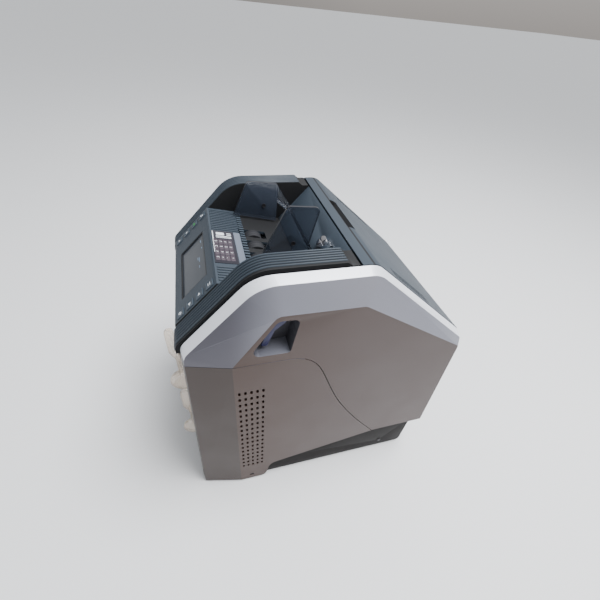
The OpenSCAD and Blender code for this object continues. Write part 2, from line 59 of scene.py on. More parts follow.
# Slopes of the display face, the hopper back, the feed deck and the rear cover
FACE_SLOPE = math.radians(47.3)
BACK_SLOPE = math.radians(48.0)
DECK_FALL = math.radians(12.0)
LID_SLOPE = math.radians(-39.15)

# Middle of the display face, deck crease, hopper valley and a point on the rear cover
FACE_MID = Vector((0.0, -0.1485, 0.36055))
CREASE = Vector((0.0, -0.124, 0.3871))
VALLEY = Vector((0.0, -0.0222, 0.36546))
LID_ORIGIN = Vector((0.0, 0.054, 0.4026))

# Side shells: where the flat side starts, where the bright strip lies, and the lever recess
PLATEAU_X = 0.1355
STRIP_X = (0.1118, 0.1245)
RECESS_Y = (-0.103, -0.045)
RECESS_Z = (0.322, 0.3745)
RECESS_FLOOR_X = 0.1145
RECESS_MOUTH_X = 0.1366

# Upper unit: side rails, where the painted shade on the deck starts, the soft keys and the rollers under
# it
RAIL_TOP = 0.4195
RAIL_INNER = 0.084
BAND_X = 0.1085
DECK_SHADE_Y = -0.0865
KEY_HALF = 0.0055
KEY_COLUMN = 0.075
KEY_PITCH = 0.017
ROLLER_XS = (-0.027, 0, 0.027)
MARK_DEPTH = 0.00018


# ---- mesh helpers ----------------------------------------------------------------------------


def only(obj):
    """Makes obj the one selected and active object."""
    bpy.ops.object.select_all(action="DESELECT")
    obj.select_set(True)
    bpy.context.view_layer.objects.active = obj
    return obj


def named(name):
    """Names the object that an add operator has just made."""
    obj = bpy.context.object
    obj.name = name
    obj.data.name = name
    return obj


def apply_all(obj):
    """Puts the object's place, turn and scale into its mesh."""
    only(obj)
    bpy.ops.object.transform_apply(location=True, rotation=True, scale=True)
    return obj


def block(name, low, high):
    """A box between two corners, with its place in the mesh."""
    low, high = Vector(low), Vector(high)
    bpy.ops.object.select_all(action="DESELECT")
    bpy.ops.mesh.primitive_cube_add(size=1, location=(low + high) / 2)
    obj = named(name)
    obj.scale = high - low
    return apply_all(obj)


def drum(name, centre, axis, radius, depth, vertices=48):
    """A cylinder about a centre, along X, Y or Z."""
    turn = {"X": (0, math.pi / 2, 0), "Y": (math.pi / 2, 0, 0), "Z": (0, 0, 0)}[axis]
    bpy.ops.object.select_all(action="DESELECT")
    bpy.ops.mesh.primitive_cylinder_add(
        vertices=vertices, radius=radius, depth=depth, location=centre, rotation=turn
    )
    return apply_all(named(name))


def moved(obj, matrix):
    """Moves the mesh itself, so that the object stays at the origin."""
    obj.matrix_world = matrix @ obj.matrix_world
    return apply_all(obj)


def plane_matrix(origin, slope):
    """The matrix of a sloped plane: X across, Y up the slope and Z out of it."""
    return Matrix.Translation(origin) @ Euler((slope, 0, 0)).to_matrix().to_4x4()


ON_FACE = plane_matrix(FACE_MID, FACE_SLOPE)
ON_BACK = plane_matrix(VALLEY, BACK_SLOPE)
ON_DECK = plane_matrix(CREASE, -DECK_FALL)
ON_LID = plane_matrix(LID_ORIGIN, LID_SLOPE)


def pick_faces(obj, test):
    """Enters edit mode with the faces selected for which test(centre, normal) holds."""
    only(obj)
    bpy.ops.object.mode_set(mode="EDIT")
    bpy.ops.mesh.select_mode(type="FACE")
    bpy.ops.mesh.select_all(action="DESELECT")
    bpy.ops.object.mode_set(mode="OBJECT")
    found = 0
    for polygon in obj.data.polygons:
        polygon.select = bool(test(polygon.center, polygon.normal))
        found += polygon.select
    if not found:
        raise RuntimeError(f"{obj.name}: no face fits the selection")
    bpy.ops.object.mode_set(mode="EDIT")


def leave_edit():
    bpy.ops.object.mode_set(mode="OBJECT")


def inset(obj, test, thickness, depth, slot=None):
    """Insets the chosen faces, sinks them by depth and gives them a material slot."""
    pick_faces(obj, test)
    bpy.ops.mesh.inset(thickness=thickness, depth=0.0, use_even_offset=True)
    bpy.ops.mesh.extrude_region_shrink_fatten(
        TRANSFORM_OT_shrink_fatten={"value": depth}
    )
    if slot is not None:
        obj.active_material_index = slot
        bpy.ops.object.material_slot_assign()
    leave_edit()


def paint(obj, slot, test):
    """Assigns a material slot to the chosen faces."""
    for polygon in obj.data.polygons:
        if test(polygon.center, polygon.normal):
            polygon.material_index = slot


def use_materials(obj, *names):
    obj.data.materials.clear()
    for name in names:
        obj.data.materials.append(bpy.data.materials[name])
    return obj


def reach(obj):
    """The lowest and highest corner of the piece's own mesh."""
    points = [v.co for v in obj.data.vertices]
    return [f(p[i] for p in points) for f in (min, max) for i in range(3)]


def bevel(obj, width, segments=2, angle=35):
    """Rounds the sharp edges and shades the piece smooth between them.
    An edge rounding never makes a piece larger, so a result that grows is tried again, finer."""
    before, plain = reach(obj), obj.data.copy()
    for attempt in (width, width / 3):
        only(obj)
        modifier = obj.modifiers.new("Edge", "BEVEL")
        modifier.width = attempt
        modifier.segments = segments
        modifier.limit_method = "ANGLE"
        modifier.angle_limit = math.radians(angle)
        modifier.use_clamp_overlap = True
        modifier.loop_slide = False
        bpy.ops.object.modifier_apply(modifier=modifier.name)
        if max(abs(a - b) for a, b in zip(reach(obj), before)) < 2 * MM:
            return smooth(obj)
        print(obj.name, "edge rounding grew at", attempt)
        obj.data = plain.copy()
    return smooth(obj)


def smooth(obj, angle=38):
    only(obj)
    bpy.ops.object.shade_smooth_by_angle(angle=math.radians(angle))
    return obj


def repeat(obj, count, step):
    """An applied row of copies."""
    only(obj)
    modifier = obj.modifiers.new("Row", "ARRAY")
    modifier.count = count
    modifier.use_relative_offset = False
    modifier.use_constant_offset = True
    modifier.constant_offset_displace = step
    bpy.ops.object.modifier_apply(modifier=modifier.name)
    return obj


def join(name, parts):
    """Joins the parts into the first one."""
    bpy.ops.object.select_all(action="DESELECT")
    for part in parts:
        part.select_set(True)
    bpy.context.view_layer.objects.active = parts[0]
    bpy.ops.object.join()
    return named(name)


def mirrored(obj, name):
    """A copy of obj on the other side of the machine."""
    only(obj)
    bpy.ops.object.duplicate()
    copy = named(name)
    copy.scale = (-1, 1, 1)
    apply_all(copy)
    bpy.ops.object.mode_set(mode="EDIT")
    bpy.ops.mesh.select_all(action="SELECT")
    bpy.ops.mesh.normals_make_consistent(inside=False)
    leave_edit()
    return copy


def refined(node, name, width=0.0005, segments=2, angle=35):
    """A piece that starts from a frame node: welded, cleaned of flat seams and edge-rounded."""
    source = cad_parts[node]
    obj = source.copy()
    obj.data = source.data.copy()
    obj.animation_data_clear()
    for key in [k for k in obj.keys() if k.startswith("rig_")]:
        del obj[key]
    bpy.context.scene.collection.objects.link(obj)
    obj.hide_render = False
    obj.hide_viewport = False
    world = source.matrix_world.copy()
    obj.parent = None
    obj.matrix_world = world
    obj.name = name
    obj.data.name = name
    only(obj)
    bpy.ops.object.mode_set(mode="EDIT")
    bpy.ops.mesh.select_all(action="SELECT")
    bpy.ops.mesh.remove_doubles(threshold=WELD)
    bpy.ops.mesh.dissolve_limited(angle_limit=math.radians(0.5))
    bpy.ops.mesh.normals_make_consistent(inside=False)
    leave_edit()
    if width:
        bevel(obj, width, segments, angle)
    return smooth(obj)


def settle(obj, body, slot, *nodes):
    """Ties a finished piece to its body and hides the frame nodes it stands for. The slot, which names
    its finish, is not used.
    """
    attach(obj, body)
    if nodes:
        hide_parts(*nodes)
    return obj


# ---- materials -------------------------------------------------------------------------------


def linear(red, green, blue):
    """A display colour, 0 to 255, as linear light."""

    def channel(value):
        value /= 255
        return value / 12.92 if value <= 0.04045 else ((value + 0.055) / 1.055) ** 2.4

    return (channel(red), channel(green), channel(blue), 1.0)


def surface_group():
    """Shared wear: a fine grain for relief, slow cloudy colour and a roughness that varies with the
    cloud.
    """
    group = bpy.data.node_groups.new("Surface Grain", "ShaderNodeTree")
    face = group.interface
    for name, kind, default in (
        ("Color", "NodeSocketColor", (0.5, 0.5, 0.5, 1)),
        ("Roughness", "NodeSocketFloat", 0.5),
        ("Grain Scale", "NodeSocketFloat", 2500.0),
        ("Cloud", "NodeSocketFloat", 0.06),
    ):
        socket = face.new_socket(name=name, in_out="INPUT", socket_type=kind)
        socket.default_value = default
    for name, kind in (
        ("Color", "NodeSocketColor"),
        ("Roughness", "NodeSocketFloat"),
        ("Height", "NodeSocketFloat"),
    ):
        face.new_socket(name=name, in_out="OUTPUT", socket_type=kind)
    nodes, link = group.nodes, group.links.new
    source = nodes.new("NodeGroupInput")
    result = nodes.new("NodeGroupOutput")
    place = nodes.new("ShaderNodeTexCoord")
    grain = nodes.new("ShaderNodeTexNoise")
    grain.inputs["Detail"].default_value = 3.0
    cloud = nodes.new("ShaderNodeTexNoise")
    cloud.inputs["Scale"].default_value = 18.0
    cloud.inputs["Detail"].default_value = 4.0
    link(place.outputs["Object"], grain.inputs["Vector"])
    link(place.outputs["Object"], cloud.inputs["Vector"])
    link(source.outputs["Grain Scale"], grain.inputs["Scale"])
    shade = nodes.new("ShaderNodeMix")
    shade.data_type = "RGBA"
    shade.blend_type = "OVERLAY"
    link(source.outputs["Cloud"], shade.inputs["Factor"])
    link(source.outputs["Color"], shade.inputs["A"])
    link(cloud.outputs["Fac"], shade.inputs["B"])
    link(shade.outputs["Result"], result.inputs["Color"])
    swing = nodes.new("ShaderNodeMapRange")
    swing.inputs["To Min"].default_value = -0.08
    swing.inputs["To Max"].default_value = 0.08
    link(cloud.outputs["Fac"], swing.inputs["Value"])
    total = nodes.new("ShaderNodeMath")
    total.use_clamp = True
    link(source.outputs["Roughness"], total.inputs[0])
    link(swing.outputs["Result"], total.inputs[1])
    link(total.outputs["Value"], result.inputs["Roughness"])
    link(grain.outputs["Fac"], result.inputs["Height"])
    return group


def front_painted_shade_group():
    """Painted shade: tints a colour darker towards the front of the machine, between two places along Y.
    """
    group = bpy.data.node_groups.new("Front Fade", "ShaderNodeTree")
    face = group.interface
    for name, kind in (
        ("Color", "NodeSocketColor"), ("Tint", "NodeSocketColor"),
        ("Front", "NodeSocketFloat"), ("Back", "NodeSocketFloat"),
    ):
        face.new_socket(name=name, in_out="INPUT", socket_type=kind)
    face.new_socket(name="Color", in_out="OUTPUT", socket_type="NodeSocketColor")
    nodes, link = group.nodes, group.links.new
    source = nodes.new("NodeGroupInput")
    result = nodes.new("NodeGroupOutput")
    place = nodes.new("ShaderNodeTexCoord")
    split = nodes.new("ShaderNodeSeparateXYZ")
    link(place.outputs["Object"], split.inputs["Vector"])
    span = nodes.new("ShaderNodeMapRange")
    span.inputs["To Min"].default_value = 1.0
    span.inputs["To Max"].default_value = 0.0
    span.interpolation_type = "SMOOTHSTEP"
    link(split.outputs["Y"], span.inputs["Value"])
    link(source.outputs["Front"], span.inputs["From Min"])
    link(source.outputs["Back"], span.inputs["From Max"])
    mix = nodes.new("ShaderNodeMix")
    mix.data_type = "RGBA"
    mix.blend_type = "MULTIPLY"
    link(span.outputs["Result"], mix.inputs["Factor"])
    link(source.outputs["Color"], mix.inputs["A"])
    link(source.outputs["Tint"], mix.inputs["B"])
    link(mix.outputs["Result"], result.inputs["Color"])
    return group


def material(name, colour, roughness, grain=2500.0, bump=0.15, cloud=0.06, painted_shade=None, **fixed):
    """A Principled material over the shared grain, with an optional painted shade: a tint and its two
    places along Y that darken the colour towards the front;
    fixed sets other sockets directly."""
    made = bpy.data.materials.new(name)
    made.use_nodes = True
    nodes, link = made.node_tree.nodes, made.node_tree.links.new
    shader = nodes["Principled BSDF"]
    group = nodes.new("ShaderNodeGroup")
    group.node_tree = bpy.data.node_groups["Surface Grain"]
    group.inputs["Color"].default_value = colour
    group.inputs["Roughness"].default_value = roughness
    group.inputs["Grain Scale"].default_value = grain
    group.inputs["Cloud"].default_value = cloud
    if painted_shade:
        front = nodes.new("ShaderNodeGroup")
        front.node_tree = bpy.data.node_groups["Front Fade"]
        for socket, value in zip(("Tint", "Front", "Back"), painted_shade):
            front.inputs[socket].default_value = value
        link(group.outputs["Color"], front.inputs["Color"])
        link(front.outputs["Color"], shader.inputs["Base Color"])
    else:
        link(group.outputs["Color"], shader.inputs["Base Color"])
    link(group.outputs["Roughness"], shader.inputs["Roughness"])
    if bump:
        relief = nodes.new("ShaderNodeBump")
        relief.inputs["Strength"].default_value = bump
        relief.inputs["Distance"].default_value = 0.0002
        link(group.outputs["Height"], relief.inputs["Height"])
        link(relief.outputs["Normal"], shader.inputs["Normal"])
    for socket, value in fixed.items():
        shader.inputs[socket.replace("_", " ")].default_value = value
    made.diffuse_color = colour
    return made


# Name, display colour, roughness, grain scale, bump, cloud and other sockets of each plain finish
FINISHES = (
    ("Black Moulding", (38, 38, 42), 0.55, 2400.0, 0.3, 0.1, {}),
    # Painted shade: a darker grey for the walls of the lever recess.
    ("Recess Grey", (66, 66, 72), 0.6, 2400.0, 0.3, 0.1, {}),
    # Painted shade: black for holes, gaps, recesses and inner faces where shade falls.
    ("Pocket Black", (14, 14, 16), 0.6, 2400.0, 0.3, 0.1, {}),
    ("Tub Moulding", (20, 16, 15), 0.65, 2400.0, 0.3, 0.1, {"Specular_IOR_Level": 0.25}),
    ("Foot Rubber", (22, 22, 23), 0.8, 1800.0, 0.4, 0.1, {}),
    ("Roller Rubber", (30, 30, 34), 0.7, 1800.0, 0.4, 0.1, {}),
    ("Vane Rubber", (40, 48, 78), 0.62, 1800.0, 0.3, 0.1, {}),
    ("Belt Rubber", (24, 24, 24), 0.75, 1800.0, 0.4, 0.1, {}),
    ("Zinc Steel", (176, 180, 186), 0.34, 900.0, 0.1, 0.1, {"Metallic": 1.0}),
    ("Bearing Steel", (196, 198, 202), 0.22, 1500.0, 0.05, 0.05, {"Metallic": 1.0}),
    ("Dark Screw", (66, 64, 66), 0.38, 1500.0, 0.1, 0.1, {"Metallic": 0.8}),
    ("Pulley Aluminium", (196, 198, 202), 0.3, 1500.0, 0.1, 0.05, {"Metallic": 1.0}),
    ("Chrome", (232, 232, 236), 0.08, 900.0, 0.0, 0.02, {"Metallic": 1.0}),
    ("Motor Enamel", (92, 94, 98), 0.4, 1800.0, 0.1, 0.08, {}),
    ("Supply Sheet", (186, 186, 184), 0.36, 1200.0, 0.1, 0.1, {"Metallic": 0.9}),
    ("Circuit Board", (30, 92, 58), 0.4, 600.0, 0.1, 0.3, {}),
    ("Inlet Gloss", (26, 26, 27), 0.25, 1800.0, 0.05, 0.05, {}),
    ("Lever Blue", (7, 12, 66), 0.4, 2200.0, 0.1, 0.08, {}),
    ("Screen Frame", (20, 21, 24), 0.3, 1500.0, 0.05, 0.05, {}),
    ("Screen Mark", (126, 150, 176), 0.4, 900.0, 0.0, 0.02, {}),
    ("Key Cap", (58, 68, 78), 0.48, 2600.0, 0.2, 0.08, {}),
    ("Print White", (222, 226, 230), 0.5, 900.0, 0.0, 0.03, {}),
    ("Print Green", (46, 158, 62), 0.5, 900.0, 0.0, 0.03, {}),
    ("Keypad Film", (40, 38, 46), 0.42, 1500.0, 0.05, 0.05, {}),
    ("Keypad Cell", (72, 62, 70), 0.42, 1500.0, 0.05, 0.05, {}),
    ("Keypad Panel", (100, 107, 119), 0.5, 2200.0, 0.2, 0.05, {}),
    ("Smoke Edge", (40, 40, 45), 0.3, 900.0, 0.0, 0.02, {}),
    ("Smoke", (70, 78, 92), 0.14, 900.0, 0.0, 0.02,
     {"Transmission_Weight": 0.5, "IOR": 1.15, "Metallic": 0.0, "Alpha": 0.55}),
    ("Clear Stop", (252, 232, 208), 0.1, 900.0, 0.0, 0.02,
     {"Transmission_Weight": 0.6, "IOR": 1.3, "Metallic": 0.0, "Alpha": 0.55}),
)

NODE_FINISH = {
    "shaft_bearings": "Bearing Steel",
    "tie_rods": "Zinc Steel",
    "frame_plate_right": "Zinc Steel",
    "frame_plate_left": "Zinc Steel",
    "stop_hinge_pins": "Zinc Steel",
    "lid_hinge_pins": "Zinc Steel",
    "rear_hinge_pins": "Zinc Steel",
    "guide_rail": "Bearing Steel",
    "pocket_shelf_upper": "Black Moulding",
    "pocket_floor_lower": "Black Moulding",
    "path_guide_rear": "Black Moulding",
    "sensor_bar": "Black Moulding",
    "drive_motor": "Motor Enamel",
    "motor_pulley": "Pulley Aluminium",
    "drive_belt": "Belt Rubber",
    "power_supply": "Supply Sheet",
    "main_board": "Circuit Board",
    "display_module": "Circuit Board",
    "cooling_fan": "Black Moulding",
    "fan_rotor": "Black Moulding",
}


class ValidatorSettings(bpy.types.PropertyGroup):
    """Sizes and colours of the visible pieces."""

    rib_count: bpy.props.IntProperty(
        name="Rail Ribs", description="Ribs on each side rail", default=6, min=3, max=8
    )
    rib_pitch: bpy.props.FloatProperty(
        name="Rib Pitch", description="Distance between rail ribs", default=0.0042,
        min=0.003, max=0.005, unit="LENGTH", subtype="DISTANCE",
    )
    rib_height: bpy.props.FloatProperty(
        name="Rib Height", description="Height of a rib above its rail", default=0.0015,
        min=0.0005, max=0.003, unit="LENGTH", subtype="DISTANCE",
    )
    edge: bpy.props.FloatProperty(
        name="Edge Radius", description="Rounding of the large mouldings", default=0.0006,
        min=0.0002, max=0.0012, unit="LENGTH", subtype="DISTANCE",
    )
    silver: bpy.props.FloatVectorProperty(
        name="Silver", description="Paint of the side panels", size=4, subtype="COLOR",
        default=linear(126, 127, 136), min=0, max=1,
    )
    # Painted highlight: the up-facing strip along the rim is painted near white, standing in for the sky
    # light it catches.
    strip: bpy.props.FloatVectorProperty(
        name="Strip", description="Bright strip along the rim", size=4, subtype="COLOR",
        default=linear(232, 234, 240), min=0, max=1,
    )
    # Painted shade: the flat sides and vented covers take the silver-grey paint darkened and warmed,
    # standing in for less overhead light and warm floor bounce on upright faces.
    warm: bpy.props.FloatVectorProperty(
        name="Warm Side Shade", description="Flat sides and vented covers", size=4, subtype="COLOR",
        default=linear(77, 65, 62), min=0, max=1,
    )
    slate: bpy.props.FloatVectorProperty(
        name="Slate", description="Upper unit and rear cover", size=4, subtype="COLOR",
        default=linear(50, 59, 68), min=0, max=1,
    )
    dark: bpy.props.FloatVectorProperty(
        name="Dark", description="Bands, pockets and gaps", size=4, subtype="COLOR",
        default=linear(10, 10, 12), min=0, max=1,
    )
    screen: bpy.props.FloatVectorProperty(
        name="Screen", description="Display at rest", size=4, subtype="COLOR",
        default=linear(36, 43, 52), min=0, max=1,
    )


def settings():
    return bpy.context.scene.validator


class VALIDATOR_OT_materials(bpy.types.Operator):
    """Make every finish and put the plain ones on the frame nodes that stay visible"""

    bl_idname = "validator.materials"
    bl_label = "Materials"

    def execute(self, context):
        s = settings()
        surface_group()
        front_painted_shade_group()
        # Painted shade: these tints darken the silver facets and the warm sides towards the front of the
        # machine; the warm tint is browner, for floor bounce.
        grey_front_shade = ((0.4, 0.38, 0.4, 1), -0.125, -0.06)
        warm_front_shade = ((0.74, 0.56, 0.44, 1), -0.15, 0.06)
        material("Silver Paint", s.silver, 0.42, 4200.0, 0.12, 0.03, grey_front_shade, Metallic=0.35)
        # Painted highlight: near white for the up-facing strip along the rim.
        material("Strip Paint", s.strip, 0.3, 4200.0, 0.1, 0.02, Metallic=0.15)
        # Painted shade: the side paint darkened and warmed for upright faces.
        material("Warm Paint", s.warm, 0.5, 3600.0, 0.2, 0.04, warm_front_shade, Metallic=0.12)
        # Painted shade: a darker, browner copy of the warm paint for the faces that look to the front.
        material("Shade Warm", [s.warm[0] * 0.44, s.warm[1] * 0.36, s.warm[2] * 0.29, 1.0], 0.5,
                 3600.0, 0.2, 0.04, Metallic=0.12)
        material("Slate Moulding", s.slate, 0.5, 2600.0, 0.35, 0.08)
        light = [min(1.0, c * 1.15) for c in s.slate[:3]] + [1.0]
        material("Light Slate", light, 0.5, 2600.0, 0.35, 0.08)
        material("Band Gloss", s.dark, 0.55, 3000.0, 0.08, 0.04, Specular_IOR_Level=0.12)
        material("Screen", s.screen, 0.3, 900.0, 0.0, 0.05, Coat_Weight=0.3)
        for name, colour, roughness, grain, bump, cloud, fixed in FINISHES:
            material(name, linear(*colour), roughness, grain, bump, cloud, **fixed)
        for node, finish in NODE_FINISH.items():
            use_materials(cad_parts[node], finish)
        return {"FINISHED"}


# ---- side shells -----------------------------------------------------------------------------


def on_plateau(centre, normal):
    return abs(normal.x) > 0.985 and abs(centre.x) > PLATEAU_X


def on_strip(centre, normal):
    """The band between the rim and the line 4.5 mm below it, outside the inner wall."""
    return (
        normal.x * centre.x > 0
        and 0.30 < abs(normal.x) < 0.45
        and STRIP_X[0] < abs(centre.x) < STRIP_X[1]
    )


def in_recess(centre, normal):
    """The walls and the floor of the lever recess."""
    return (
        RECESS_Y[0] < centre.y < RECESS_Y[1]
        and RECESS_Z[0] < centre.z < RECESS_Z[1]
        and (abs(normal.x) < 0.5 or abs(centre.x) < RECESS_FLOOR_X)
        and abs(centre.x) < RECESS_MOUTH_X
    )


class VALIDATOR_OT_side_panels(bpy.types.Operator):
    """Upper side panels: silver facets, a bright strip at the rim in painted highlight, a flat side in
    warm painted shade and painted shade in the lever recess
    """

    bl_idname = "validator.side_panels"
    bl_label = "Side Panels"

    def execute(self, context):
        for side, _ in SIDES:
            node = f"side_panel_{side}"
            obj = refined(node, f"{side}_panel", 0.0)
            use_materials(
                obj, "Silver Paint", "Warm Paint", "Strip Paint", "Recess Grey"
            )
            # Painted shade: the flat sides take the darker, warmer copy of the paint.
            paint(obj, 1, on_plateau)
            # Painted highlight on the up-facing strip along the rim.
            paint(obj, 2, on_strip)
            # Painted shade: the walls of the lever recess are painted a darker grey; faces that look up
            # keep their paint.
            paint(obj, 3, lambda c, n: in_recess(c, n) and n.z < 0.7)
            bevel(obj, settings().edge, 2, 18)
            settle(obj, "chassis", "silver_paint", node)
        return {"FINISHED"}


class VALIDATOR_OT_side_covers(bpy.types.Operator):
    """Vented lower covers"""

    bl_idname = "validator.side_covers"
    bl_label = "Vented Covers"

    def execute(self, context):
        for side, _ in SIDES:
            node = f"side_cover_{side}"
            obj = refined(node, f"{side}_vented_cover", 0.0)
            # Painted shade: the whole vented cover starts in the darker, warmer copy of the paint.
            use_materials(obj, "Warm Paint", "Pocket Black", "Shade Warm", "Silver Paint")
            # Painted shade: the faces that look to the front take the darker copy of the warm paint.
            paint(obj, 2, lambda c, n: n.y < -0.2)
            # Painted shade: the inner face of the cover, seen through the vents, is painted black.
            paint(obj, 1, lambda c, n: n.x * c.x < -0.5 * abs(c.x))
            # Painted highlight: the up-facing top edge at the seam is painted silver, lighter than the
            # sides.
            paint(obj, 3, lambda c, n: n.z > 0.85 and c.z > 0.29)
            bevel(obj, 0.0004, 2, 30)
            settle(obj, "chassis", "warm_grey_plastic", node)
        return {"FINISHED"}


class VALIDATOR_OT_base(bpy.types.Operator):
    """Tub, feet and cover screws"""

    bl_idname = "validator.base"
    bl_label = "Base"

    def execute(self, context):
        for node, name, width, finish, slot in (
            ("base_tub", "tub", 0.0008, "Tub Moulding", "tub_plastic"),
            ("rubber_feet", "feet", 0.0004, "Foot Rubber", "foot_rubber"),
            ("cover_screws", "screws", 0.0002, "Dark Screw", "dark_screw"),
        ):
            obj = refined(node, name, width)
            use_materials(obj, finish)
            settle(obj, "chassis", slot, node)
        return {"FINISHED"}


# ---- upper unit ------------------------------------------------------------------------------


def cut_across(obj, place, test):
    """Cuts the chosen faces with a plane across Y."""
    pick_faces(obj, test)
    bpy.ops.mesh.bisect(plane_co=place, plane_no=(0, 1, 0))
    leave_edit()


def in_key_hole(centre, normal):
    """Walls of the key and display holes: inside the face plate and square to it."""
    local = ON_FACE.inverted() @ centre
    across = ON_FACE.to_3x3().inverted() @ normal
    return abs(across.z) < 0.3 and -0.0028 < local.z < -0.0002 and abs(local.y) < 0.034


class VALIDATOR_OT_upper_cover(bpy.types.Operator):
    """Upper cover: display face, feed deck and side rails with a dark outer band"""

    bl_idname = "validator.upper_cover"
    bl_label = "Upper Cover"

    def execute(self, context):
        obj = refined("upper_cover", "upper_housing", 0.0)
        use_materials(obj, "Slate Moulding", "Band Gloss", "Pocket Black")
        cut_across(
            obj, (0, DECK_SHADE_Y, 0), lambda c, n: n.z > 0.9 and abs(c.x) < RAIL_INNER
        )
        # Painted shade: the rail tops between the ribs are painted black, darker than the slate ribs.
        paint(obj, 2, lambda c, n: abs(c.x) > 0.0842)
        # Painted shade: the deck behind the keypad, towards the rollers, is painted black.
        paint(obj, 2, lambda c, n: n.z > 0.9 and c.y > DECK_SHADE_Y and abs(c.x) < RAIL_INNER)
        # Painted shade: the inner faces of the rails are painted black.
        paint(obj, 2, lambda c, n: n.x * c.x < 0 and abs(n.x) > 0.9 and abs(c.x) > 0.083)
        # Painted shade: the walls of the key and display holes are painted black, so the gaps round the
        # keys read dark.
        paint(obj, 2, in_key_hole)
        paint(obj, 1, lambda c, n: abs(c.x) > BAND_X)
        bevel(obj, settings().edge, 2, 35)
        settle(obj, "upper_unit", "slate_plastic", "upper_cover")
        back = refined("hopper_back", "hopper_plate", 0.0004)
        use_materials(back, "Light Slate", "Dark Screw")
        settle(back, "upper_unit", "light_slate_plastic", "hopper_back")
        return {"FINISHED"}


def swept_rib(name, x, width, height):
    """A rounded rib drawn along the rail: flat top, round corner, sloped front and nose."""
    top, radius, nose = RAIL_TOP, 0.045, 0.014
    start_y, corner_y, slope_y = 0.0065, -0.091, 0.083
    tip, tip_length, foot_drop = 0.45, 0.0015, 0.004
    bpy.ops.object.select_all(action="DESELECT")
    bpy.ops.mesh.primitive_circle_add(
        vertices=8, radius=1, fill_type="NGON", rotation=(math.pi / 2, math.pi / 8, 0)
    )
    obj = apply_all(named(name))
    obj.scale = (width / 2 * tip, 1, height * tip)
    apply_all(obj)
    obj.location = (x, start_y, top)
    apply_all(obj)
    turn_y = corner_y + radius * math.tan(FACE_SLOPE / 2)
    steep = math.pi / 2 - FACE_SLOPE
    slope_len = slope_y / math.cos(FACE_SLOPE) - (
        radius * math.tan(FACE_SLOPE / 2) + nose * math.tan(steep / 2)
    )
    down = Vector((0, -math.cos(FACE_SLOPE), -math.sin(FACE_SLOPE)))
    bpy.ops.object.mode_set(mode="EDIT")
    bpy.ops.mesh.select_mode(type="FACE")
    bpy.ops.mesh.select_all(action="SELECT")

    def draw(vector, scale=None):
        bpy.ops.mesh.extrude_region_move(TRANSFORM_OT_translate={"value": vector})
        if scale:
            bpy.ops.transform.resize(value=scale, center_override=(x, start_y, top))

    draw((0, -tip_length, 0), (1 / tip, 1, 1 / tip))
    draw((0, turn_y - start_y + tip_length, 0))
    bpy.ops.mesh.spin(
        steps=10, angle=-FACE_SLOPE, center=(0, turn_y, top - radius), axis=(1, 0, 0)
    )
    draw(tuple(down * slope_len))
    foot = Vector((0, turn_y, top - radius)) + Vector(
        (0, -radius * math.sin(FACE_SLOPE), radius * math.cos(FACE_SLOPE))
    )
    foot += down * slope_len
    centre = foot - nose * Vector((0, -math.sin(FACE_SLOPE), math.cos(FACE_SLOPE)))
    bpy.ops.mesh.spin(steps=6, angle=-steep, center=tuple(centre), axis=(1, 0, 0))
    draw((0, 0, -foot_drop))
    bpy.ops.mesh.select_all(action="SELECT")
    bpy.ops.mesh.remove_doubles(threshold=WELD)
    bpy.ops.mesh.normals_make_consistent(inside=False)
    leave_edit()
    return smooth(obj, 50)


class VALIDATOR_OT_rail_ribs(bpy.types.Operator):
    """Ribs that run along both side rails"""

    bl_idname = "validator.rail_ribs"
    bl_label = "Rail Ribs"

    def execute(self, context):
        s = settings()
        first = 0.0864
        obj = swept_rib("rail_ribs_right", first, s.rib_pitch * 0.56, s.rib_height)
        repeat(obj, s.rib_count, (s.rib_pitch, 0, 0))
        use_materials(obj, "Slate Moulding")
        other = mirrored(obj, "rail_ribs_left")
        for piece in (obj, other):
            settle(piece, "upper_unit", "slate_plastic")
        return {"FINISHED"}


class VALIDATOR_OT_display(bpy.types.Operator):
    """Display window: a black frame, a sunk screen and a few plain status bars"""

    bl_idname = "validator.display"
    bl_label = "Display"

    def execute(self, context):
        half, rise, centre_x = 0.0457, 0.0227, 0.008
        obj = block("display_screen", (centre_x - half, -rise, -0.003), (centre_x + half, rise, -0.0004))
        use_materials(obj, "Screen Frame", "Screen")
        inset(obj, lambda c, n: n.z > 0.9, 0.0009, 0.0, 0)
        inset(obj, lambda c, n: n.z > 0.9 and c.length < 0.02, 0.0006, -0.0012, 1)
        bevel(obj, 0.0002, 1)
        moved(obj, ON_FACE)
        marks = []
        for x, y, w, h in (
            (-0.026, 0.0150, 0.0045, 0.0012), (-0.010, 0.0160, 0.0030, 0.0012),
            (0.006, 0.0105, 0.0090, 0.0007), (0.004, 0.0080, 0.0060, 0.0007),
            (0.022, 0.0100, 0.0050, 0.0007),
        ):
            mark = block("mark", (x, y, -0.00160), (x + w, y + h, -0.00145))
            marks.append(use_materials(mark, "Screen Mark"))
        bars = join("screen_marks", marks)
        bevel(bars, 0.00005, 1)
        moved(bars, ON_FACE)
        settle(obj, "upper_unit", "display_glass", "display_window")
        settle(bars, "upper_unit", "display_glass")
        return {"FINISHED"}


def bar(name, x, y, w, h, turn=0.0, z=0.00092):
    """A thin raised mark on a key top."""
    mark = block(name, (-w / 2, -h / 2, 0), (w / 2, h / 2, MARK_DEPTH))
    return moved(mark, Matrix.Translation((x, y, z)) @ Matrix.Rotation(turn, 4, "Z"))


def triangle(name, x, y, size, turn, z=0.00092):
    bpy.ops.object.select_all(action="DESELECT")
    bpy.ops.mesh.primitive_cylinder_add(
        vertices=3, radius=size, depth=MARK_DEPTH, location=(x, y, z + MARK_DEPTH / 2),
        rotation=(0, 0, turn)
    )
    return apply_all(named(name))


